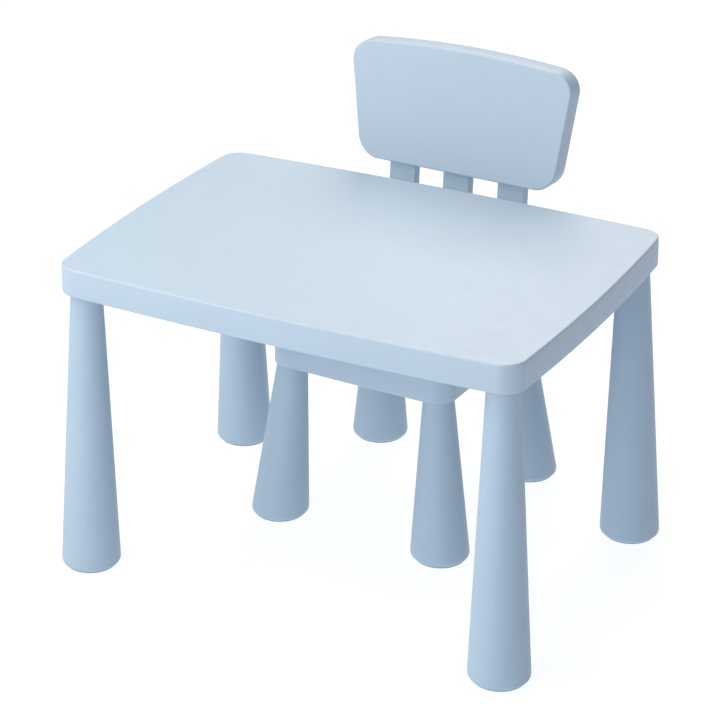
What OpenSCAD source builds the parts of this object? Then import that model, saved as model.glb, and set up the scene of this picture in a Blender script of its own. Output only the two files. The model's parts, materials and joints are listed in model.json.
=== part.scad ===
// Child's table with four cone legs, and its chair tucked in behind it.
// Millimetres, +Z up. The origin is on the floor under the middle of the set.
// X runs along the table's long side. The chair stands on the +Y side and
// faces the table. Front is -Y and left is -X on both pieces.

/* [Table top] */
// Length of the table top, left to right
table_l = 770; // [680:10:860]
// Depth of the table top, front to back
table_w = 550; // [480:10:620]
// Height of the table
table_h = 509; // [460:1:560]
// Height of the skirt round the table top
table_skirt = 45; // [38:1:52]
// Radius of the table's plan corners
table_corner_r = 30; // [22:1:40]
// How far the long sides bulge at their middle
long_bow = 10; // [4:0.5:14]
// How far the short sides bulge at their middle
short_bow = 10; // [3:0.5:12]

/* [Legs] */
// Distance of a table leg's top centre from the table's short and long sides
table_leg_inset = [43, 44.5];
// How far a table leg's foot stands outside its top, along X and along Y
table_leg_splay = [6.5, 10.5];
// Radius at the top of a leg, where it meets its socket
leg_top_r = 24; // [22:0.5:26]
// Largest radius of a leg, just above the floor
leg_foot_r = 46; // [40:0.25:50]
// Radius of the rounded lower edge of a leg
leg_foot_round = 8; // [5:0.5:9]
// Half the distance between the chair's front leg tops
chair_leg_front = 129.5; // [124:0.5:140]
// Half the distance between the chair's rear leg tops
chair_leg_rear = 123.5; // [118:0.5:134]
// Half the distance between the front and the rear leg tops
chair_leg_deep = 139.5; // [130:0.5:148]
// How far a chair leg's foot stands outside its top, along X and along Y
chair_splay = [15.5, 20];

/* [Seat] */
// Height of the seat
seat_h = 310; // [300:1:320]
// Height of the skirt round the seat
seat_skirt = 46; // [40:1:50]
// How far the skirt stands outside the legs
seat_margin = 5; // [3:0.5:6]
// How far the seat's sides bulge at their middle
seat_bow = 2; // [0:0.5:4]

/* [Chair back] */
// Height of the chair
chair_h = 706; // [680:1:730]
// Backward lean of the back, in degrees
back_lean = 5.2; // [3:0.1:8]
// Place of the panel's lower front edge behind the chair's centre
back_y = 149.5; // [142:0.5:154]
// Height of the panel's straight sides, along the lean
panel_h = 192; // [180:1:210]
// Rise of the panel's curved top edge at its middle
panel_bow = 12; // [4:0.5:16]
// Half widths of the panel at its lower and upper edges
panel_half = [172, 197];
// Radius of the panel's corners
panel_corner_r = 34; // [24:1:40]
// Thickness of the panel
panel_t = 34.5; // [32:0.5:36]
// Width of a post
post_w = 47; // [40:0.5:50]
// Depth of a post
post_d = 17; // [14:0.5:19]
// Distance between the posts' centres
post_pitch = 97; // [92:1:104]
// How far the posts stand behind the panel's front face
post_setback = 9; // [8:0.5:11]

/* [Placement] */
// Chair centre relative to the table centre
chair_at = [-18, 196];
// Turn of the chair on the floor, in degrees
chair_turn = -2; // [-4:0.5:4]

/* [Shells and fixings] */
// Wall of the moulded shells
wall = 3; // [2.5:0.25:3.5]
// Outward draft of a skirt from its top to its foot
draft = 0.25; // [0:0.25:2]
// Radius of the upper edge of the tops and of the panel's front edge
edge_r = 3; // [2:0.5:5]
// Radius of a leg screw's shank
leg_screw_r = 3; // [2.5:0.25:4]
// Radius of the other screws' shanks
small_screw_r = 2; // [1.5:0.25:2.5]

/* [Hidden] */

body_blue = [0.71, 0.80, 0.88];
leg_blue = [0.62, 0.73, 0.83];
foot_blue = [0.45, 0.55, 0.65];
steel = [0.70, 0.71, 0.73];

$fn = 64;
slice_h = 0.01;        // thickness of a hull's slices
corner_steps = 9;      // steps round a plan corner
side_steps = 6;        // steps along a bowed side
edge_steps = 3;        // steps round a rounded edge
bite = 1;              // overlap of joined solids
hull_fn = 40;          // sides of the round slices in a hull
lip_r = 1.5;           // rounding of a skirt's foot and of the panel's rear edge
gap = 0.2;             // clearance of a plug in its socket
thread_gap = 0.05;     // clearance of a screw in its pilot hole

corners = [for (sy = [-1, 1]) for (sx = [-1, 1]) [sx, sy]];

// legs
foot_lift = 2;                       // a leg's shell ends this far above the floor
spigot_r = leg_top_r - 4;
leg_plate = 4;                       // closed top of a leg's spigot
foot_ring_r = leg_foot_r - leg_foot_round;  // a leg's lowest ring
foot_proud = 2;                      // the caps' rims stand this far outside that ring
foot_wall = 3.5;                     // width of that ring, round the cap's plug
foot_flange_r = foot_ring_r + foot_proud;
foot_plug_r = foot_ring_r - foot_wall;
foot_plug_h = 10;

// table
table_a = table_l / 2;
table_b = table_w / 2;
table_foot_z = table_h - table_skirt;
table_plate = wall + 1;              // thickness of the table's plate
table_leg_h = table_foot_z + 4;      // the shoulder stands inside the skirt
table_spigot_h = 24;
table_leg_at = [table_a, table_b] - table_leg_inset;
rib_t = 2.5;
rib_h = 6;

// seat
seat_foot_z = seat_h - seat_skirt;
seat_corner_r = leg_top_r + seat_margin - draft;
seat_pull = 0.7 * seat_bow;          // how far the bow draws the corners in
seat_a = (chair_leg_front + chair_leg_rear) / 2 + seat_corner_r + seat_pull;
seat_b = chair_leg_deep + seat_corner_r + seat_pull;
seat_pillar_r = leg_top_r + 2;       // fills the skirt's corners round the legs' sockets
seat_taper = (chair_leg_front - chair_leg_rear) / 2;
seat_plate_z = seat_h - wall;
chair_leg_h = seat_foot_z;           // the shoulder meets the skirt's foot
chair_spigot_h = 16;

// chair back, in a frame that leans with it
back_z = chair_h - (panel_h + panel_bow) * cos(back_lean);
panel_a = (panel_half[0] + panel_half[1]) / 2;
panel_spread = (panel_half[1] - panel_half[0]) / 2;
post_round = 2;
post_core_round = 1;                   // corners of a post's hollow
tenon_round = 2;
post_mid = post_setback + post_d / 2;  // middle of a post, behind the panel's face
post_top = 120;
shoulder = [6, 2];                      // a post's step to its tenon, at the sides and faces
tenon = [post_w - 2 * shoulder[0], post_d - 2 * shoulder[1], 18];  // the plug in the seat
tenon_base = lean_z(seat_h - tenon[2]);
socket_floor = 4;
socket_step = 8;                       // the outer sockets' screws stand this far inward
post_xs = [-post_pitch, 0, post_pitch];
back_screw_zs = [35, 95];
boss_r = 6;                            // tubes in the posts that the back screws pass
cover_boss_r = boss_r + 2;             // the cover's pads, with the screw heads' seats
cover_gap = 0.3;                       // clearance round the rear cover
cover_sink = 0.5;                      // depth of the cover behind the panel's rim
screw_head_h = 3;
head_ratio = 2.1;                      // a screw head's radius to its shank's
back_seat_y = panel_t - cover_sink - screw_head_h;  // where the back screws' heads sit
back_tip_y = 2;                        // where they end, inside the panel's face

// Height in the leaning frame of a level, along the posts' middle
function lean_z(level) = (level - back_z + post_mid * sin(back_lean)) / cos(back_lean);

// the set's extent along Y, at the legs' widest, for the origin
foot_wide_z = foot_lift + leg_foot_round;
table_out = 1 - foot_wide_z / table_leg_h;
chair_out = 1 - foot_wide_z / chair_leg_h;
front_edge = -(table_leg_at[1] + table_leg_splay[1] * table_out + leg_foot_r);
rear_foot = [-(chair_leg_rear + chair_splay[0] * chair_out), chair_leg_deep + chair_splay[1] * chair_out];
rear_edge = chair_at[1] + rear_foot[0] * sin(chair_turn) + rear_foot[1] * cos(chair_turn) + leg_foot_r;
mid_y = (front_edge + rear_edge) / 2;

// ---- outlines ------------------------------------------------------------

function arc(cx, cy, r, from) =
  [for (i = [0:corner_steps]) let (t = from + 90 * i / corner_steps) [cx + r * cos(t), cy + r * sin(t)]];

function steps(p, q) = [for (i = [1:side_steps - 1]) p + (q - p) * i / side_steps];

// Rounded rectangle of half sizes a and b, with points along its sides
function rounded(a, b, r) = concat(
  arc(a - r, b - r, r, 0), steps([a - r, b], [r - a, b]),
  arc(r - a, b - r, r, 90), steps([-a, b - r], [-a, r - b]),
  arc(r - a, r - b, r, 180), steps([r - a, -b], [a - r, -b]),
  arc(a - r, r - b, r, 270), steps([a, r - b], [a, b - r]));

// Pulls the ends of each side in, so that the sides bulge at their middle
function bowed(points, a, b, bow_x, bow_y) =
  [for (p = points) [p[0] - sign(p[0]) * bow_x * pow(p[1] / b, 2),
                     p[1] - sign(p[1]) * bow_y * pow(p[0] / a, 2)]];

// Plan outlines, drawn in by the inset t
table_outline = function (t)
  bowed(rounded(table_a - t, table_b - t, table_corner_r - t), table_a, table_b, short_bow, long_bow);

seat_outline = function (t)
  [for (p = bowed(rounded(seat_a - t, seat_b - t, seat_corner_r - t), seat_a, seat_b, seat_bow, seat_bow))
    [p[0] * (1 - seat_taper / seat_a * p[1] / seat_b), p[1]]];

// Front view of the back panel: wider at the top, with a curved top edge
panel_outline = function (t)
  [for (p = rounded(panel_a - t, panel_h / 2 - t, panel_corner_r - t))
    let (up = p[1] / panel_h + 0.5, x = p[0] * (1 + panel_spread / panel_a * (2 * up - 1)))
    [x, up * panel_h + panel_bow * (1 - pow(x / panel_half[1], 2)) * pow(max(up, 0), 3)]];

// ---- shared shapes ---------------------------------------------------------

module slice(points, z) translate([0, 0, z]) linear_extrude(height = slice_h) polygon(points);

// Solid from z0 to z1 over an outline, with rounded upper and lower edges
module moulded(outline, z0, z1, upper_r, lower_r, flare) {
  hull() {
    for (i = [0:edge_steps]) {
      t = 90 * i / edge_steps;
      slice(outline(lower_r * (1 - sin(t)) - flare), z0 + lower_r * (1 - cos(t)));
      slice(outline(upper_r * (1 - cos(t))), z1 - slice_h - upper_r * (1 - sin(t)));
    }
  }
}

// Open hollow over an outline, with the same flare as its shell
module hollow(outline, z0, z1, flare) {
  hull() {
    slice(outline(wall - flare), z0);
    slice(outline(wall), z1 - slice_h);
  }
}

module rounded_bar(w, d, r, h) {
  linear_extrude(height = h) {
    square([w - 2 * r, d], center = true);
    square([w, d - 2 * r], center = true);
    for (c = corners) translate([c[0] * (w / 2 - r), c[1] * (d / 2 - r)]) circle(r = r, $fn = 32);
  }
}

// Screw with its head's seat at z = 0 and its shank upward
module screw(shank_r, shank_l) {
  head_r = head_ratio * shank_r;
  difference() {
    union() {
      translate([0, 0, -screw_head_h]) cylinder(h = screw_head_h, r = head_r);
      cylinder(h = shank_l, r = shank_r);
    }
    translate([0, 0, -screw_head_h - 1]) cylinder(h = screw_head_h, r = 0.6 * head_r, $fn = 6);
  }
}

// ---- legs --------------------------------------------------------------------

// Hollow leg: a cone whose foot centre stands at foot, outside its top centre.
// A spigot on top plugs into a socket, and the foot is open for its cap.
module cone_leg(foot, h, spigot_h) {
  difference() {
    union() {
      difference() {
        hull() {
          for (i = [0:edge_steps]) {
            t = 90 * i / edge_steps;
            leg_slice(foot, h, foot_lift + leg_foot_round * (1 - cos(t)),
                      leg_foot_r - leg_foot_round * (1 - sin(t)));
          }
          leg_slice(foot, h, h - slice_h, leg_top_r);
        }
        hull() {
          leg_slice(foot, h, foot_lift + wall, foot_ring_r);
          leg_slice(foot, h, foot_lift + leg_foot_round, leg_foot_r - wall);
          leg_slice(foot, h, h - wall, leg_top_r - wall);
        }
      }
      translate([0, 0, h - wall]) cylinder(h = spigot_h + wall, r = spigot_r);
    }
    translate([0, 0, h - 2 * wall]) cylinder(h = 2 * wall + spigot_h - leg_plate, r = spigot_r - wall);
    translate([0, 0, h]) cylinder(h = spigot_h + 1, r = leg_screw_r + gap);
    translate([foot[0], foot[1], -1]) cylinder(h = foot_lift + 2 * wall, r = foot_plug_r + gap);
  }
}

module leg_slice(foot, h, z, r)
  translate([foot[0] * (1 - z / h), foot[1] * (1 - z / h), z]) cylinder(h = slice_h, r = r, $fn = hull_fn);

// Cap that closes a leg and stands on the floor
module foot_cap() {
  cylinder(h = foot_lift, r = foot_flange_r);
  difference() {
    cylinder(h = foot_lift + foot_plug_h, r = foot_plug_r);
    translate([0, 0, foot_lift + 1]) cylinder(h = foot_plug_h, r = foot_plug_r - wall);
  }
}

// Bore for a leg's spigot, with the pilot hole of its screw
module leg_socket_bore(shoulder_z, plate_z, spigot_h) {
  translate([0, 0, shoulder_z - 1]) {
    cylinder(h = spigot_h + 1 + gap, r = spigot_r + gap);
    cylinder(h = plate_z - shoulder_z + 2, r = leg_screw_r + thread_gap);
  }
}

module leg_screw(shoulder_z, plate_z, spigot_h) {
  seat_z = shoulder_z + spigot_h - leg_plate;
  translate([0, 0, seat_z]) screw(leg_screw_r, plate_z - seat_z);
}

// ---- table ---------------------------------------------------------------------

module in_row() translate([0, -mid_y, 0]) children();

module at_table_leg(c) in_row() translate([c[0] * table_leg_at[0], c[1] * table_leg_at[1], 0]) children();

module table_top() {
  plate_z = table_h - table_plate;
  color(body_blue) in_row() difference() {
    union() {
      difference() {
        moulded(table_outline, table_foot_z, table_h, edge_r, lip_r, draft);
        hollow(table_outline, table_foot_z - slice_h, plate_z, draft);
      }
      intersection() {
        translate([0, 0, plate_z - rib_h]) linear_extrude(height = rib_h + bite)
          polygon(table_outline(wall - bite));
        table_ribs(plate_z);
      }
      for (c = corners) translate([c[0] * table_leg_at[0], c[1] * table_leg_at[1], table_leg_h])
        cylinder(h = plate_z - table_leg_h + bite, r = leg_top_r);
    }
    for (c = corners) translate([c[0] * table_leg_at[0], c[1] * table_leg_at[1], 0])
      leg_socket_bore(table_leg_h, plate_z, table_spigot_h);
  }
}

// Bar under a plate, let into it
module rib(plan, plate_z)
  translate([-plan[0] / 2, -plan[1] / 2, plate_z - rib_h]) cube(concat(plan, rib_h + bite));

module table_ribs(plate_z) {
  for (k = [-2:2]) translate([k * table_l / 6, 0, 0]) rib([rib_t, table_w], plate_z);
  for (k = [-1:1]) translate([0, k * table_w / 4, 0]) rib([table_l, rib_t], plate_z);
}

// A foot's place outside its leg's top centre
function foot_at(c, splay) = [c[0] * splay[0], c[1] * splay[1]];

module table_leg(c)
  color(leg_blue) at_table_leg(c) cone_leg(foot_at(c, table_leg_splay), table_leg_h, table_spigot_h);

module table_foot(c)
  color(foot_blue) at_table_leg(c) translate(foot_at(c, table_leg_splay)) foot_cap();

module table_leg_screws()
  color(steel) for (c = corners) at_table_leg(c)
    leg_screw(table_leg_h, table_h - table_plate, table_spigot_h);

// ---- chair ---------------------------------------------------------------------

module in_chair() in_row() translate([chair_at[0], chair_at[1], 0]) rotate([0, 0, chair_turn]) children();

function chair_leg_at(c) = [c[0] * (c[1] < 0 ? chair_leg_front : chair_leg_rear), c[1] * chair_leg_deep];

module at_chair_leg(c) in_chair() translate(chair_leg_at(c)) children();

// Leaning frame of the back: origin at the middle of the panel's lower front
// edge, X across, Y to the rear through the panel, Z up the panel
module in_back() translate([0, back_y, back_z]) rotate([-back_lean, 0, 0]) children();

// Everything at the chair below the level z
module below(z) translate([-2 * seat_a, -2 * seat_b, 0]) cube([4 * seat_a, 4 * seat_b, z]);

// Skirted shell with closed corners for the legs and leaning sockets for the posts
module chair_seat() {
  color(body_blue) in_chair() difference() {
    union() {
      difference() {
        moulded(seat_outline, seat_foot_z, seat_h, edge_r, lip_r, draft);
        difference() {
          hollow(seat_outline, seat_foot_z - slice_h, seat_plate_z, draft);
          for (c = corners) translate(concat(chair_leg_at(c), seat_foot_z))
            cylinder(h = seat_skirt, r = seat_pillar_r);
        }
      }
      intersection() {
        translate([0, 0, seat_plate_z - rib_h]) linear_extrude(height = rib_h + bite)
          polygon(seat_outline(wall - bite));
        seat_ribs();
      }
      intersection() {
        in_back() for (x = post_xs) translate([x, post_mid, tenon_base - socket_floor])
          rounded_bar(tenon[0] + 2 * wall, tenon[1] + 2 * wall, tenon_round + wall, 2 * tenon[2]);
        below(seat_plate_z + bite);
      }
    }
    for (c = corners) translate(chair_leg_at(c)) leg_socket_bore(chair_leg_h, seat_plate_z, chair_spigot_h);
    in_back() for (x = post_xs) translate([x, post_mid, tenon_base - gap]) {
      rounded_bar(tenon[0] + 2 * gap, tenon[1] + 2 * gap, tenon_round + gap, 2 * tenon[2]);
      translate([-sign(x) * socket_step, 0, -socket_floor - 1])
        cylinder(h = socket_floor + 2, r = small_screw_r + gap);
    }
  }
}

module seat_ribs() {
  for (x = [-post_pitch / 2, post_pitch / 2]) translate([x, 0, 0]) rib([rib_t, 2 * seat_b], seat_plate_z);
  for (y = [-seat_b / 3, seat_b / 3]) translate([0, y, 0]) rib([3 * seat_a, rib_t], seat_plate_z);
}

module chair_leg(c)
  color(leg_blue) at_chair_leg(c) cone_leg(foot_at(c, chair_splay), chair_leg_h, chair_spigot_h);

module chair_foot(c)
  color(foot_blue) at_chair_leg(c) translate(foot_at(c, chair_splay)) foot_cap();

module chair_leg_screws()
  color(steel) for (c = corners) at_chair_leg(c) leg_screw(chair_leg_h, seat_plate_z, chair_spigot_h);

// Hollow post: it stands on the seat on a level shoulder, with a tenon in the
// seat's socket, and cross tubes inside the panel take the back cover's screws
module chair_post(x) {
  color(leg_blue) in_chair() difference() {
    union() {
      difference() {
        in_back() translate([x, post_mid, 0]) difference() {
          translate([0, 0, tenon_base]) rounded_bar(post_w, post_d, post_round, post_top - tenon_base);
          translate([0, 0, tenon_base + tenon[2] + 2 * wall])
            rounded_bar(post_w - 2 * wall, post_d - 2 * wall, post_core_round, post_top - tenon_base);
        }
        below(seat_h);
      }
      in_back() translate([x, post_mid, tenon_base])
        rounded_bar(tenon[0], tenon[1], tenon_round, tenon[2] + wall);
      in_back() for (z = back_screw_zs) translate([x, post_setback + post_d, z]) rotate([90, 0, 0])
        cylinder(h = post_d, r = boss_r);
    }
    in_back() for (z = back_screw_zs) translate([x, 2 * panel_t, z]) rotate([90, 0, 0])
      cylinder(h = 3 * panel_t, r = small_screw_r + gap);
    in_back() translate([x - sign(x) * socket_step, post_mid, tenon_base - 1])
      cylinder(h = 4 * wall, r = small_screw_r + thread_gap);
  }
}

// Screw from below through a socket's floor, with its head under the seat
module chair_post_screws() {
  color(steel) in_chair() in_back() for (x = post_xs)
    translate([x - sign(x) * socket_step, post_mid, tenon_base - socket_floor])
      screw(small_screw_r, socket_floor + 3 * wall);
}

// Front half of the back: face and side walls, open to the rear
module chair_back_shell() {
  color(body_blue) in_chair() in_back() difference() {
    union() {
      difference() {
        rotate([90, 0, 0]) moulded(panel_outline, -panel_t, 0, edge_r, lip_r, 0);
        translate([0, wall, 0]) rotate([90, 0, 0]) translate([0, 0, -2 * panel_t])
          linear_extrude(height = 2 * panel_t) polygon(panel_outline(wall));
      }
      for (x = post_xs) for (z = back_screw_zs) translate([x, post_setback, z]) rotate([90, 0, 0])
        cylinder(h = post_setback - wall + bite, r = boss_r);
    }
    for (x = post_xs) {
      translate([x, post_mid, -wall])
        rounded_bar(post_w + 2 * gap, post_d + 2 * gap, post_round + gap, 3 * wall);
      for (z = back_screw_zs) translate([x, post_setback + bite, z]) rotate([90, 0, 0])
        cylinder(h = post_setback, r = small_screw_r + thread_gap);
    }
  }
}

// Rear cover, let into the shell, with recessed screw seats over the posts
module chair_back_cover() {
  cover_y = panel_t - cover_sink - wall;
  color(body_blue) in_chair() in_back() difference() {
    union() {
      translate([0, cover_y + wall, 0]) rotate([90, 0, 0])
        linear_extrude(height = wall) polygon(panel_outline(wall + cover_gap));
      for (x = post_xs) for (z = back_screw_zs) translate([x, cover_y + bite, z]) rotate([90, 0, 0])
        cylinder(h = cover_y + bite - post_setback - post_d, r = cover_boss_r);
    }
    for (x = post_xs) for (z = back_screw_zs) translate([x, 0, z]) rotate([-90, 0, 0]) {
      cylinder(h = 2 * panel_t, r = small_screw_r + gap);
      translate([0, 0, back_seat_y]) cylinder(h = panel_t, r = head_ratio * small_screw_r + gap);
    }
  }
}

module chair_back_screws() {
  color(steel) in_chair() in_back() for (x = post_xs) for (z = back_screw_zs)
    translate([x, back_seat_y, z]) rotate([90, 0, 0]) screw(small_screw_r, back_seat_y - back_tip_y);
}

// ---- nodes ---------------------------------------------------------------------

table_top();
table_leg([-1, -1]);  // table_leg_front_left
table_leg([1, -1]);  // table_leg_front_right
table_leg([-1, 1]);  // table_leg_rear_left
table_leg([1, 1]);  // table_leg_rear_right
table_foot([-1, -1]);  // table_foot_front_left
table_foot([1, -1]);  // table_foot_front_right
table_foot([-1, 1]);  // table_foot_rear_left
table_foot([1, 1]);  // table_foot_rear_right
table_leg_screws();
chair_seat();
chair_leg([-1, -1]);  // chair_leg_front_left
chair_leg([1, -1]);  // chair_leg_front_right
chair_leg([-1, 1]);  // chair_leg_rear_left
chair_leg([1, 1]);  // chair_leg_rear_right
chair_foot([-1, -1]);  // chair_foot_front_left
chair_foot([1, -1]);  // chair_foot_front_right
chair_foot([-1, 1]);  // chair_foot_rear_left
chair_foot([1, 1]);  // chair_foot_rear_right
chair_leg_screws();
chair_post(-post_pitch);  // chair_post_left
chair_post(0);  // chair_post_middle
chair_post(post_pitch);  // chair_post_right
chair_back_shell();
chair_back_cover();
chair_post_screws();
chair_back_screws();
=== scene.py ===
"""Looks of the child's table and its chair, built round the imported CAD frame. Metres, +Z up."""

import json
import math

import bmesh
import bpy
from mathutils import Matrix, Vector


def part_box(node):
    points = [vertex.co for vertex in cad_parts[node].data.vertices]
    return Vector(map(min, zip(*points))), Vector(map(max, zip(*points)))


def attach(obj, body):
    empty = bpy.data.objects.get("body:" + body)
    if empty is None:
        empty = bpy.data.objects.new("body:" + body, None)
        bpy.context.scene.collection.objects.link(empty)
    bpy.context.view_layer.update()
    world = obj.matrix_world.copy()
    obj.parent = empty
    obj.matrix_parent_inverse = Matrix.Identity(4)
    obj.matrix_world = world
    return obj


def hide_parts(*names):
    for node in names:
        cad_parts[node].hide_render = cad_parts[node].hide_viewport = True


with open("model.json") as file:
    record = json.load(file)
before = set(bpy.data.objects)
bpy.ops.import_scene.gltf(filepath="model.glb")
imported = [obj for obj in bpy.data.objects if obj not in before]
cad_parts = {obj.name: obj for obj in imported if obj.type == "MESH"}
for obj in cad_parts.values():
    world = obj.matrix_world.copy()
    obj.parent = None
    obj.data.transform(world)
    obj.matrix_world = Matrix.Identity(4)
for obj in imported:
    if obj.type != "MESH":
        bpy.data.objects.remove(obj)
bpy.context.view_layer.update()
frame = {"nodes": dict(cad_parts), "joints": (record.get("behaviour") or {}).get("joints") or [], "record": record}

MM = 0.001

# ---- sizes that the frame's boxes don't give --------------------------------------------

WALL = 3 * MM
DRAFT = 0.25 * MM
GAP = 0.3 * MM
BITE = 1 * MM  # overlap of joined solids
INLAY = 2 * MM  # distance from a flat face's edge to the ring that closes it
MERGE = 0.001 * MM  # points nearer than this become one
RING_DEPTH = 0.1 * MM  # points this near a node's top belong to its highest ring
SMOOTH_BELOW = math.radians(35)

CORNER_STEPS = 20
SIDE_STEPS = 16
ROUND_SIDES = 96
SOCKET_SIDES = 64
HOLE_SIDES = 32
EDGE_STEPS = 12
FOOT_STEPS = 10
REAR_STEPS = 6
LIP_STEPS = 5
CAP_STEPS = 4
TENON_STEPS = 3
CONE_STEPS = 12

LIP_R = 1.4 * MM  # rounding of a skirt's foot
INNER_R = 2.5 * MM  # rounding where a skirt meets its plate, inside

TABLE_CORNER_R = 30 * MM
TABLE_EDGE_R = 3 * MM
TABLE_PLATE = WALL + 1 * MM
LONG_BOW = 10 * MM
SHORT_BOW = 10 * MM

LEG_TOP_R = 24 * MM
LEG_FOOT_R = 46 * MM
FOOT_ROUND = 8 * MM
FOOT_LIFT = 2 * MM
FOOT_WALL = 3.5 * MM  # width of a leg's lowest ring, round the cap's plug
CAP_EDGE_R = 0.6 * MM
CUP_FLOOR = 1 * MM
LEG_SHOULDER = 4 * MM  # width of the ledge round a spigot
SPIGOT_R = LEG_TOP_R - LEG_SHOULDER
SPIGOT_H = {"table": 24 * MM, "chair": 16 * MM}
SPIGOT_PLATE = 4 * MM
SPIGOT_CHAMFER = 1 * MM
SOCKET_WALL = {"table": 0, "chair": 2 * MM}  # how far a pillar stands outside its leg
LEG_SCREW_R = 3.2 * MM

SEAT_A = 156.65 * MM  # half width, midway between front and rear
SEAT_CORNER_R = 28.75 * MM
SEAT_EDGE_R = 3 * MM
SEAT_BOW = 2 * MM
SEAT_TAPER = 3 * MM

BACK_LEAN = math.radians(5.2)
PANEL_CORNER_R = 34 * MM
PANEL_EDGE_R = 3 * MM
PANEL_REAR_R = 1.5 * MM
PANEL_RIM_BEVEL = (0.6 * MM, 0.8 * MM)
PANEL_A = 184.5 * MM  # half width at mid height
PANEL_BOW = 12 * MM
PANEL_SPREAD = 12.5 * MM  # how much wider that half is at the top, and narrower at the bottom
COVER_EDGE_R = 0.8 * MM
SCREW_HEAD_R = 4.4 * MM
SCREW_ZS = (35 * MM, 95 * MM)

POST_ROUND = 2 * MM
POST_TOP_R = 1.5 * MM
SHOULDER_EDGE_R = 0.5 * MM
TENON_ROUND = 2 * MM
TENON_EDGE_R = 1 * MM
TENON_SHY = (12 * MM, 4 * MM)
TENON_L = 18 * MM
SOCKET_FLOOR = 4 * MM

RIB_T = 2.5 * MM
RIB_H = 6 * MM
RIB_SHY = 2 * MM  # a rib ends this far inside the skirt's outer face

CORNERS = ("front_left", "front_right", "rear_left", "rear_right")


# ---- places from the frame -----------------------------------------------------------------


def node_points(node):
    return [v.co.copy() for v in frame["nodes"][node].data.vertices]


def bounds_in(node, matrix):
    """Lowest and highest corner of a CAD node in the frame that matrix places."""
    inverse = matrix.inverted()
    points = [inverse @ p for p in node_points(node)]
    low = Vector([min(p[i] for p in points) for i in range(3)])
    high = Vector([max(p[i] for p in points) for i in range(3)])
    return low, high


def centre_of(node):
    low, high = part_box(node)
    return (low + high) / 2


def top_centre(node):
    """Middle of a node's highest ring of points."""
    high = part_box(node)[1].z
    ring = [p for p in node_points(node) if p.z > high - RING_DEPTH]
    low = Vector([min(p[i] for p in ring) for i in range(3)])
    top = Vector([max(p[i] for p in ring) for i in range(3)])
    return (low + top) / 2


TABLE_LOW, TABLE_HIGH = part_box("table_top")
TABLE_MID = (TABLE_LOW + TABLE_HIGH) / 2
TABLE_A = (TABLE_HIGH.x - TABLE_LOW.x) / 2 - DRAFT
TABLE_B = (TABLE_HIGH.y - TABLE_LOW.y) / 2 - DRAFT
TABLE_FRAME = Matrix.Translation((TABLE_MID.x, TABLE_MID.y, 0))

SLIDE_AXIS = Vector(frame["joints"][0]["axis"])
CHAIR_TURN = math.atan2(-SLIDE_AXIS.x, SLIDE_AXIS.y)
CHAIR_MID = sum((centre_of(f"chair_foot_{c}") for c in CORNERS), Vector()) / len(CORNERS)
CHAIR_FRAME = Matrix.Translation((CHAIR_MID.x, CHAIR_MID.y, 0)) @ Matrix.Rotation(CHAIR_TURN, 4, "Z")
SEAT_LOW, SEAT_HIGH = bounds_in("chair_seat", CHAIR_FRAME)
SEAT_B = (SEAT_HIGH.y - SEAT_LOW.y) / 2 - DRAFT

LEANING = CHAIR_FRAME @ Matrix.Rotation(-BACK_LEAN, 4, "X")
LEAN_LOW = bounds_in("chair_back_shell", LEANING)[0]
BACK_FRAME = LEANING @ Matrix.Translation((0, LEAN_LOW.y, LEAN_LOW.z))
PANEL_HIGH = bounds_in("chair_back_shell", BACK_FRAME)[1]
PANEL_T = PANEL_HIGH.y
PANEL_H = PANEL_HIGH.z - PANEL_BOW


# ---- mesh building ---------------------------------------------------------------------------


def new_object(name, bm, matrix=None):
    """Mesh object from a bmesh, with its place in its vertices."""
    bmesh.ops.remove_doubles(bm, verts=bm.verts, dist=MERGE)
    bmesh.ops.recalc_face_normals(bm, faces=bm.faces)
    mesh = bpy.data.meshes.new(name)
    bm.to_mesh(mesh)
    bm.free()
    if matrix is not None:
        mesh.transform(matrix)
    obj = bpy.data.objects.new(name, mesh)
    bpy.context.scene.collection.objects.link(obj)
    return obj


def loft(bm, rings, join_ends=False):
    """Skin over rings of points, all of the same length. Its ends are closed, or joined to each other."""
    rows = [[bm.verts.new(p) for p in ring] for ring in rings]
    pairs = list(zip(rows, rows[1:]))
    if join_ends:
        pairs.append((rows[-1], rows[0]))
    for low, high in pairs:
        for i in range(len(low)):
            j = (i + 1) % len(low)
            bm.faces.new((low[i], low[j], high[j], high[i]))
    if not join_ends:
        bm.faces.new(rows[0][::-1])
        bm.faces.new(rows[-1])


def lofted(name, rings, matrix=None, join_ends=False):
    bm = bmesh.new()
    loft(bm, rings, join_ends)
    return new_object(name, bm, matrix)


def smooth_by_angle(obj):
    bm = bmesh.new()
    bm.from_mesh(obj.data)
    for edge in bm.edges:
        edge.smooth = len(edge.link_faces) == 2 and edge.calc_face_angle(0) < SMOOTH_BELOW
    for face in bm.faces:
        face.smooth = True
    bm.to_mesh(obj.data)
    bm.free()


def combined(obj, others, operation):
    """Applies booleans with the other objects, which are then removed."""
    for other in others:
        modifier = obj.modifiers.new("cut", "BOOLEAN")
        modifier.operation = operation
        modifier.solver = "EXACT"
        modifier.object = other
    depsgraph = bpy.context.evaluated_depsgraph_get()
    mesh = bpy.data.meshes.new_from_object(obj.evaluated_get(depsgraph))
    obj.modifiers.clear()
    old = obj.data
    obj.data = mesh
    bpy.data.meshes.remove(old)
    for other in others:
        bpy.data.objects.remove(other)
    return obj


def arc(cx, cy, r, start, end, steps):
    """Points on an arc, angles in degrees."""
    angles = [math.radians(start + (end - start) * i / steps) for i in range(steps + 1)]
    return [(cx + r * math.cos(t), cy + r * math.sin(t)) for t in angles]


def between(p, q, steps):
    return [tuple(a + (b - a) * i / steps for a, b in zip(p, q)) for i in range(1, steps)]


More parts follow.
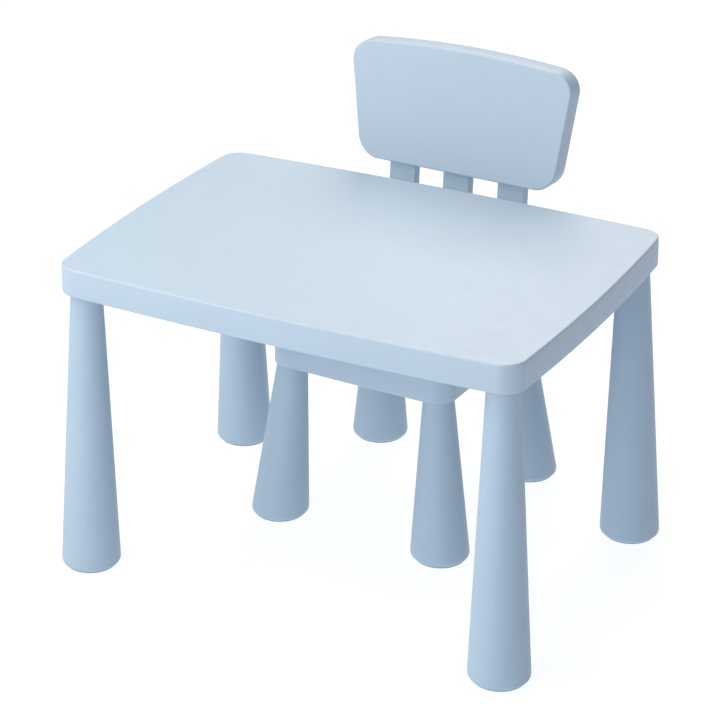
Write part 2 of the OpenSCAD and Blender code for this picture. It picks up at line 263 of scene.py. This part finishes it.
def rounded_rect(a, b, r, side_steps=SIDE_STEPS, corner_steps=CORNER_STEPS):
    """Rounded rectangle of half sizes a and b, with points along its sides."""
    signs = ((1, 1), (-1, 1), (-1, -1), (1, -1))
    corners = [
        arc(sx * (a - r), sy * (b - r), r, 90 * k, 90 * k + 90, corner_steps)
        for k, (sx, sy) in enumerate(signs)
    ]
    points = []
    for corner, following in zip(corners, corners[1:] + corners[:1]):
        points += corner + between(corner[-1], following[0], side_steps)
    return points


def bowed(points, a, b, bow_x, bow_y):
    """Pulls the ends of each side in, so that the sides bulge at their middle."""
    return [
        (x - math.copysign(bow_x, x) * (y / b) ** 2, y - math.copysign(bow_y, y) * (x / a) ** 2)
        for x, y in points
    ]


def table_outline(inset):
    plan = rounded_rect(TABLE_A - inset, TABLE_B - inset, TABLE_CORNER_R - inset)
    return bowed(plan, TABLE_A, TABLE_B, SHORT_BOW, LONG_BOW)


def seat_outline(inset):
    plan = rounded_rect(SEAT_A - inset, SEAT_B - inset, SEAT_CORNER_R - inset)
    plan = bowed(plan, SEAT_A, SEAT_B, SEAT_BOW, SEAT_BOW)
    return [(x * (1 - SEAT_TAPER / SEAT_A * y / SEAT_B), y) for x, y in plan]


def panel_outline(inset):
    """Front view of the panel: wider at the top, with a curved top edge."""
    points = []
    for x, y in rounded_rect(PANEL_A - inset, PANEL_H / 2 - inset, PANEL_CORNER_R - inset):
        up = y / PANEL_H + 0.5
        x *= 1 + PANEL_SPREAD / PANEL_A * (2 * up - 1)
        rise = PANEL_BOW * (1 - (x / (PANEL_A + PANEL_SPREAD)) ** 2) * max(up, 0) ** 3
        points.append((x, up * PANEL_H + rise))
    return points


def edge_profile(r, steps, flip=False):
    """(inset, depth) pairs round a quarter circle, from the side to the face."""
    angles = [math.pi / 2 * i / steps for i in range(steps + 1)]
    pairs = [(r * (1 - math.cos(t)), r * (1 - math.sin(t))) for t in angles]
    return pairs[::-1] if flip else pairs


# ---- moulded tops ----------------------------------------------------------------------------


def skirted_shell(name, outline, foot_z, top_z, edge_r, plate, matrix):
    """Open-bottomed shell: underside, inner wall, foot of the skirt, outer wall, rounded edge, face."""
    rings = []

    def ring(inset, z):
        rings.append([Vector((x, y, z)) for x, y in outline(inset)])

    ring(WALL + INNER_R + INLAY, top_z - plate)
    for inset, depth in edge_profile(INNER_R, LIP_STEPS, flip=True):
        ring(WALL + inset, top_z - plate - depth)
    for inset, depth in edge_profile(LIP_R, LIP_STEPS):
        ring(WALL - DRAFT - inset, foot_z + depth)
    for inset, depth in edge_profile(LIP_R, LIP_STEPS, flip=True):
        ring(inset - DRAFT, foot_z + depth)
    for inset, depth in edge_profile(edge_r, EDGE_STEPS):
        ring(inset, top_z - depth)
    ring(edge_r + INLAY, top_z)
    return lofted(name, rings, matrix)


def block(name, low, high, matrix=None):
    bm = bmesh.new()
    plan = [(low[0], low[1]), (high[0], low[1]), (high[0], high[1]), (low[0], high[1])]
    loft(bm, [[Vector((x, y, z)) for x, y in plan] for z in (low[2], high[2])])
    return new_object(name, bm, matrix)


def round_ring(centre, r, z, sides=ROUND_SIDES):
    angles = [2 * math.pi * i / sides for i in range(sides)]
    return [Vector((centre[0] + r * math.cos(t), centre[1] + r * math.sin(t), z)) for t in angles]


def cylinder(name, centre, low_z, high_z, r):
    return lofted(name, [round_ring(centre, r, z, SOCKET_SIDES) for z in (low_z, high_z)])


def ribs(xs, ys, reach, plate_z, matrix):
    """Crossed ribs under a top, let into its plate. reach gives half a rib's length at its place."""
    low_z, high_z = plate_z - RIB_H, plate_z + BITE
    bars = []
    for x in xs:
        half = reach(x, False)
        bars.append(block("rib", (x - RIB_T / 2, -half, low_z), (x + RIB_T / 2, half, high_z), matrix))
    for y in ys:
        half = reach(y, True)
        bars.append(block("rib", (-half, y - RIB_T / 2, low_z), (half, y + RIB_T / 2, high_z), matrix))
    return bars


def table_reach(at, across):
    if across:
        return TABLE_A - SHORT_BOW * (at / TABLE_B) ** 2 - RIB_SHY
    return TABLE_B - LONG_BOW * (at / TABLE_A) ** 2 - RIB_SHY


def seat_reach(at, across):
    return (SEAT_A if across else SEAT_B) - RIB_SHY


def leg_sockets(piece, plate_z):
    """Pillars under a top and the bores in them, for the legs' spigots."""
    pillars, bores = [], []
    for corner in CORNERS:
        node = f"{piece}_leg_{corner}"
        at = top_centre(node)
        spigot_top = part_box(node)[1].z
        shoulder = spigot_top - SPIGOT_H[piece]
        pillar_r = LEG_TOP_R + SOCKET_WALL[piece]
        pillars.append(cylinder("pillar", at, shoulder, plate_z + BITE, pillar_r))
        bores.append(cylinder("bore", at, shoulder - 2 * BITE, spigot_top + GAP, SPIGOT_R + GAP))
    return pillars, bores


# ---- table -----------------------------------------------------------------------------------


def table_top():
    """Top with five ribs across it and three along it."""
    foot_z, top_z = TABLE_LOW.z, TABLE_HIGH.z
    plate_z = top_z - TABLE_PLATE
    top = skirted_shell(
        "table_top_shell", table_outline, foot_z, top_z, TABLE_EDGE_R, TABLE_PLATE, TABLE_FRAME
    )
    pillars, bores = leg_sockets("table", plate_z)
    xs = [k * TABLE_A / 3 for k in range(-2, 3)]
    ys = [k * TABLE_B / 2 for k in range(-1, 2)]
    combined(top, ribs(xs, ys, table_reach, plate_z, TABLE_FRAME) + pillars, "UNION")
    combined(top, bores, "DIFFERENCE")
    return finished(top, "table", "top_plastic", ["table_top"])


# ---- legs ------------------------------------------------------------------------------------


def leg_profile(h, spigot_h):
    """Closed (z, r) outline of half a hollow leg: shell, shoulder, spigot and the bore for its cap."""
    ring_r = LEG_FOOT_R - FOOT_ROUND
    bore_r = ring_r - FOOT_WALL + GAP
    round_z = FOOT_LIFT + FOOT_ROUND
    top_z = h + spigot_h
    points = [(FOOT_LIFT, bore_r), (FOOT_LIFT, ring_r)]
    for inset, depth in edge_profile(FOOT_ROUND, FOOT_STEPS, flip=True)[1:]:
        points.append((FOOT_LIFT + depth, LEG_FOOT_R - inset))
    for i in range(1, CONE_STEPS + 1):
        share = i / CONE_STEPS
        z = round_z + (h - SPIGOT_CHAMFER - round_z) * share
        points.append((z, LEG_FOOT_R + (LEG_TOP_R - LEG_FOOT_R) * share))
    points += [
        (h, LEG_TOP_R - SPIGOT_CHAMFER),
        (h, SPIGOT_R),
        (top_z - SPIGOT_CHAMFER, SPIGOT_R),
        (top_z, SPIGOT_R - SPIGOT_CHAMFER),
        (top_z, LEG_SCREW_R),
        (top_z - SPIGOT_PLATE, LEG_SCREW_R),
        (top_z - SPIGOT_PLATE, SPIGOT_R - WALL),
        (h - 2 * WALL, SPIGOT_R - WALL),
        (h - 2 * WALL, LEG_TOP_R - WALL),
        (round_z, LEG_FOOT_R - WALL),
        (FOOT_LIFT + WALL, ring_r),
        (FOOT_LIFT + WALL, bore_r),
    ]
    return points


def cone_leg(piece, corner):
    """Oblique cone: every level section is a circle, and the centres run from the foot to the top."""
    node = f"{piece}_leg_{corner}"
    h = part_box(node)[1].z - SPIGOT_H[piece]
    top, foot = top_centre(node), centre_of(f"{piece}_foot_{corner}")
    rings = [
        round_ring(foot.lerp(top, min(z / h, 1)), r, z)
        for z, r in leg_profile(h, SPIGOT_H[piece])
    ]
    leg = lofted(f"{node}_shell", rings, join_ends=True)
    return finished(leg, piece, "leg_plastic", [node])


def foot_cap(piece, corner):
    """Flat flange on the floor with a cup above it, which plugs the leg."""
    node = f"{piece}_foot_{corner}"
    low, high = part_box(node)
    centre = (low + high) / 2
    flange_r = (high.x - low.x) / 2
    plug_r = LEG_FOOT_R - FOOT_ROUND - FOOT_WALL
    profile = [(0.0, flange_r - CAP_EDGE_R - WALL), (0.0, flange_r - CAP_EDGE_R)]
    for inset, depth in edge_profile(CAP_EDGE_R, CAP_STEPS, flip=True)[1:]:
        profile.append((depth, flange_r - inset))
    profile += [
        (FOOT_LIFT, flange_r),
        (FOOT_LIFT, plug_r),
        (high.z - CAP_EDGE_R, plug_r),
        (high.z, plug_r - CAP_EDGE_R),
        (high.z, plug_r - WALL),
        (FOOT_LIFT + CUP_FLOOR, plug_r - WALL),
    ]
    cap = lofted(f"{node}_cap", [round_ring(centre, r, z) for z, r in profile])
    return finished(cap, piece, "foot_plastic", [node])


# ---- chair -----------------------------------------------------------------------------------


def lean_z(y, level):
    """Height in the back's leaning frame of a level, at the depth y."""
    return (level - BACK_FRAME.translation.z + y * math.sin(BACK_LEAN)) / math.cos(BACK_LEAN)


def section(mid, size, r, height, inset=0.0):
    """Rounded section across a post. Its height is a number, or a function of the depth."""
    half_w, half_d = size[0] / 2 - inset, size[1] / 2 - inset
    plan = rounded_rect(half_w, half_d, r - inset, side_steps=2, corner_steps=10)
    level = height if callable(height) else lambda y: height
    return [Vector((mid.x + x, mid.y + y, level(mid.y + y))) for x, y in plan]


def grown_sections(mid, size, r, margin, heights):
    """Sections grown by a margin on every side, for a hole or for the block round it."""
    return [section(mid, (size[0] + 2 * margin, size[1] + 2 * margin), r + margin, z) for z in heights]


SIDES = ("left", "middle", "right")
POSTS = {f"chair_post_{side}": bounds_in(f"chair_post_{side}", BACK_FRAME) for side in SIDES}


def post_size(node):
    """Middle of a post, its width and depth, and those of its tenon."""
    low, high = POSTS[node]
    w, d = high.x - low.x, high.y - low.y
    return (low + high) / 2, (w, d), (w - TENON_SHY[0], d - TENON_SHY[1])


def chair_seat():
    """Seat with crossed ribs, sockets for the legs and blocks with holes for the posts' tenons."""
    foot_z, top_z = SEAT_LOW.z, SEAT_HIGH.z
    plate_z = top_z - WALL
    seat = skirted_shell("chair_seat_shell", seat_outline, foot_z, top_z, SEAT_EDGE_R, WALL, CHAIR_FRAME)
    added, cut = leg_sockets("chair", plate_z)
    pitch = POSTS["chair_post_right"][0].x - POSTS["chair_post_middle"][0].x
    added += ribs((-pitch / 2, pitch / 2), (-SEAT_B / 3, SEAT_B / 3), seat_reach, plate_z, CHAIR_FRAME)
    for node in POSTS:
        mid, _, tenon = post_size(node)
        tenon_z = POSTS[node][0].z
        block_zs = (tenon_z - SOCKET_FLOOR, lambda y: lean_z(y, plate_z + BITE))
        hole_zs = (tenon_z - GAP, tenon_z + 2 * TENON_L)
        socket = grown_sections(mid, tenon, TENON_ROUND, WALL, block_zs)
        hole = grown_sections(mid, tenon, TENON_ROUND, GAP, hole_zs)
        added.append(lofted("post_socket", socket, BACK_FRAME))
        cut.append(lofted("post_hole", hole, BACK_FRAME))
    combined(seat, added, "UNION")
    combined(seat, cut, "DIFFERENCE")
    return finished(seat, "chair", "top_plastic", ["chair_seat"])


def chair_post(node):
    """Leaning post with a level shoulder on the seat and a tenon below it."""
    low, high = POSTS[node]
    mid, size, tenon = post_size(node)
    rings = []
    for inset, depth in edge_profile(TENON_EDGE_R, TENON_STEPS, flip=True):
        rings.append(section(mid, tenon, TENON_ROUND, low.z + depth, inset))
    rings.append(section(mid, tenon, TENON_ROUND, lambda y: lean_z(y, SEAT_HIGH.z)))
    for inset, depth in edge_profile(SHOULDER_EDGE_R, TENON_STEPS, flip=True):
        rings.append(section(mid, size, POST_ROUND, lambda y: lean_z(y, SEAT_HIGH.z + depth), inset))
    for inset, depth in edge_profile(POST_TOP_R, CAP_STEPS):
        rings.append(section(mid, size, POST_ROUND, high.z - depth, inset))
    return finished(lofted(f"{node}_bar", rings, BACK_FRAME), "chair", "leg_plastic", [node])


def chair_back_shell():
    """Face and side walls of the hollow back, open to the rear, with a rounded front edge."""
    rings = []

    def ring(inset, y):
        rings.append([Vector((x, y, z)) for x, z in panel_outline(inset)])

    bevel_w, bevel_d = PANEL_RIM_BEVEL
    ring(WALL + INLAY, WALL)
    ring(WALL, WALL)
    ring(WALL, PANEL_T - bevel_d)
    ring(WALL - bevel_w, PANEL_T)
    for inset, depth in edge_profile(PANEL_REAR_R, REAR_STEPS, flip=True)[1:]:
        ring(inset, PANEL_T - depth)
    for inset, depth in edge_profile(PANEL_EDGE_R, EDGE_STEPS):
        ring(inset, depth)
    ring(PANEL_EDGE_R + INLAY, 0.0)
    shell = lofted("chair_back_front_shell", rings, BACK_FRAME)
    cut = []
    for node in POSTS:
        mid, size, _ = post_size(node)
        notch = grown_sections(mid, size, POST_ROUND, GAP, (-WALL, 2 * WALL))
        cut.append(lofted("post_notch", notch, BACK_FRAME))
    combined(shell, cut, "DIFFERENCE")
    return finished(shell, "chair", "top_plastic", ["chair_back_shell"])


def chair_back_cover():
    """Rear cover, let into the shell with a narrow groove round it."""
    rear_y = bounds_in("chair_back_cover", BACK_FRAME)[1].y
    outer = WALL + GAP
    rings = []

    def ring(inset, y):
        rings.append([Vector((x, y, z)) for x, z in panel_outline(inset)])

    ring(outer + INLAY, rear_y - WALL)
    ring(outer, rear_y - WALL)
    for inset, depth in edge_profile(COVER_EDGE_R, LIP_STEPS):
        ring(outer + inset, rear_y - depth)
    ring(outer + COVER_EDGE_R + INLAY, rear_y)
    cover = lofted("chair_back_rear_cover", rings, BACK_FRAME)
    cut = []
    for node in POSTS:
        mid = post_size(node)[0]
        for z in SCREW_ZS:
            hole = [
                [Vector((mid.x + p.x, y, z + p.y)) for p in round_ring((0, 0), SCREW_HEAD_R, 0, HOLE_SIDES)]
                for y in (rear_y - 2 * WALL, rear_y + WALL)
            ]
            cut.append(lofted("screw_hole", hole, BACK_FRAME))
    combined(cover, cut, "DIFFERENCE")
    return finished(cover, "chair", "top_plastic", ["chair_back_cover"])


# ---- materials -------------------------------------------------------------------------------


def plastic(name, colour, roughness, grain):
    """Moulded plastic: faint cloudiness, fine grain, slow unevenness of gloss, lighter rubbed edges."""
    cloud_scale, gloss_scale, wave_scale, grain_scale = 7, 38, 16, 1500
    wave_height, grain_height = 0.6 * MM, 0.05 * MM
    material = bpy.data.materials.new(name)
    material.use_nodes = True
    nodes, links = material.node_tree.nodes, material.node_tree.links
    shader = nodes["Principled BSDF"]
    place = nodes.new("ShaderNodeTexCoord")

    def noise(scale, detail=3.0):
        node = nodes.new("ShaderNodeTexNoise")
        node.inputs["Scale"].default_value = scale
        node.inputs["Detail"].default_value = detail
        links.new(place.outputs["Object"], node.inputs["Vector"])
        return node.outputs["Fac"]

    def ramp(source, from_low, from_high, low, high):
        node = nodes.new("ShaderNodeMapRange")
        node.inputs["From Min"].default_value = from_low
        node.inputs["From Max"].default_value = from_high
        node.inputs["To Min"].default_value = low
        node.inputs["To Max"].default_value = high
        links.new(source, node.inputs["Value"])
        return node.outputs["Result"]

    def mixed(factor, first, second):
        node = nodes.new("ShaderNodeMix")
        node.data_type = "RGBA"
        links.new(factor, node.inputs["Factor"])
        for socket, value in ((node.inputs["A"], first), (node.inputs["B"], second)):
            if isinstance(value, bpy.types.NodeSocket):
                links.new(value, socket)
            else:
                socket.default_value = (*value, 1)
        return node.outputs["Result"]

    def bump(height, distance, strength):
        node = nodes.new("ShaderNodeBump")
        node.inputs["Strength"].default_value = strength
        node.inputs["Distance"].default_value = distance
        links.new(height, node.inputs["Height"])
        return node

    darker = tuple(c * 0.975 for c in colour)
    lighter = tuple(min(1, c * 1.015 + 0.004) for c in colour)
    rubbed = tuple(c + (1 - c) * 0.22 for c in colour)
    cloudy = mixed(noise(cloud_scale), darker, lighter)
    geometry = nodes.new("ShaderNodeNewGeometry")
    edge = ramp(geometry.outputs["Pointiness"], 0.52, 0.60, 0.0, 0.35)
    links.new(mixed(edge, cloudy, rubbed), shader.inputs["Base Color"])
    gloss = ramp(noise(gloss_scale), 0.3, 0.7, roughness - 0.04, roughness + 0.05)
    links.new(gloss, shader.inputs["Roughness"])
    shader.inputs["IOR"].default_value = 1.49
    shader.inputs["Specular IOR Level"].default_value = 0.5

    slow = bump(noise(wave_scale, 1.0), wave_height, 0.12)
    fine = bump(noise(grain_scale, 2.0), grain_height, grain)
    links.new(slow.outputs["Normal"], fine.inputs["Normal"])
    links.new(fine.outputs["Normal"], shader.inputs["Normal"])
    return material


def zinc(name):
    """Zinc-plated steel of the hidden screws."""
    material = plastic(name, (0.62, 0.63, 0.65), 0.36, 0.2)
    material.node_tree.nodes["Principled BSDF"].inputs["Metallic"].default_value = 1.0
    return material


MATERIALS = {
    "top_plastic": plastic("top_plastic", (0.373, 0.48, 0.582), 0.46, 0.25),
    "leg_plastic": plastic("leg_plastic", (0.336, 0.454, 0.56), 0.50, 0.25),
    "foot_plastic": plastic("foot_plastic", (0.20, 0.28, 0.37), 0.62, 0.4),
    "screw_steel": zinc("screw_steel"),
}


def finished(obj, body, slot, nodes):
    """Shades and paints a piece, puts it on its body and lets it stand in for its CAD nodes."""
    smooth_by_angle(obj)
    obj.data.materials.clear()
    obj.data.materials.append(MATERIALS[slot])
    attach(obj, body)
    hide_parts(*nodes)
    return obj


def paint_cad_nodes():
    """Every CAD node that still shows takes its slot's material."""
    slots = {row["node"]: row["material_slot"] for row in frame["record"]["subparts"]}
    for node, obj in frame["nodes"].items():
        obj.data.materials.clear()
        obj.data.materials.append(MATERIALS[slots[node]])


# ---- set -------------------------------------------------------------------------------------


def floor():
    """Pale floor, lit from below like a light table, so that hardly a shadow shows."""
    half = 40.0
    bm = bmesh.new()
    plan = ((-half, -half), (half, -half), (half, half), (-half, half))
    bm.faces.new([bm.verts.new((x, y, 0)) for x, y in plan])
    obj = new_object("floor", bm)
    material = bpy.data.materials.new("floor_white")
    material.use_nodes = True
    nodes, links = material.node_tree.nodes, material.node_tree.links
    shader = nodes["Principled BSDF"]
    noise = nodes.new("ShaderNodeTexNoise")
    noise.inputs["Scale"].default_value = 3.0
    shade = nodes.new("ShaderNodeMix")
    shade.data_type = "RGBA"
    shade.inputs["A"].default_value = (0.11, 0.11, 0.11, 1)
    shade.inputs["B"].default_value = (0.13, 0.13, 0.13, 1)
    links.new(noise.outputs["Fac"], shade.inputs["Factor"])
    links.new(shade.outputs["Result"], shader.inputs["Base Color"])
    shader.inputs["Roughness"].default_value = 0.9
    shader.inputs["Specular IOR Level"].default_value = 0.1
    shader.inputs["Emission Color"].default_value = (0.965, 0.985, 1.06, 1)
    shader.inputs["Emission Strength"].default_value = 0.94
    obj.data.materials.append(material)


def area_light(name, at, aim, size, power, colour):
    data = bpy.data.lights.new(name, "AREA")
    data.shape = "RECTANGLE"
    data.size, data.size_y = size
    data.energy = power
    data.color = colour
    obj = bpy.data.objects.new(name, data)
    obj.location = at
    obj.rotation_mode = "QUATERNION"
    obj.rotation_quaternion = (Vector(aim) - Vector(at)).to_track_quat("-Z", "Y")
    bpy.context.scene.collection.objects.link(obj)


def studio():
    """Four large soft lights round the set, and a dim, slightly blue surrounding light."""
    middle = (0, 0, 0.35)
    world = bpy.data.worlds.new("studio")
    world.use_nodes = True
    background = world.node_tree.nodes["Background"]
    background.inputs["Color"].default_value = (0.90, 0.98, 1.12, 1)
    background.inputs["Strength"].default_value = 0.235
    bpy.context.scene.world = world
    area_light("front_left", (-1.41, -1.41, 1.50), middle, (1.3, 1.9), 22, (1.0, 0.94, 0.84))
    area_light("front", (0.0, -3.24, 1.54), middle, (2.0, 2.0), 43, (1.0, 0.97, 0.96))
    area_light("high_left", (-0.84, -0.84, 3.59), middle, (2.0, 2.0), 79, (1.0, 0.92, 0.86))
    area_light("rear", (-0.42, 2.40, 2.80), middle, (2.0, 2.0), 67, (1.0, 0.92, 0.84))
    bpy.context.scene.view_settings.view_transform = "Standard"


def camera():
    """Long lens from the front right, looking down on the table's open side."""
    data = bpy.data.cameras.new("camera")
    data.sensor_width = 36
    data.lens = 136.483
    data.shift_x, data.shift_y = 0.33385, -0.17985
    data.clip_end = 200
    turn, down, roll = math.radians(33.1082), math.radians(22.9826), math.radians(-2.2959)
    looking = Vector((-math.sin(turn) * math.cos(down), math.cos(turn) * math.cos(down), -math.sin(down)))
    right = looking.cross((0, 0, 1)).normalized()
    right = Matrix.Rotation(roll, 3, -looking) @ right
    up = right.cross(looking)
    stand = TABLE_FRAME @ Vector((1.7463, -3.3356, 2.1438))
    obj = bpy.data.objects.new("camera", data)
    obj.matrix_world = Matrix.Translation(stand) @ Matrix((right, up, -looking)).transposed().to_4x4()
    bpy.context.scene.collection.objects.link(obj)
    bpy.context.scene.camera = obj


# ---- build -----------------------------------------------------------------------------------

camera()
floor()
studio()
paint_cad_nodes()
table_top()
chair_seat()
for piece in ("table", "chair"):
    for corner in CORNERS:
        cone_leg(piece, corner)
        foot_cap(piece, corner)
for node in POSTS:
    chair_post(node)
chair_back_shell()
chair_back_cover()
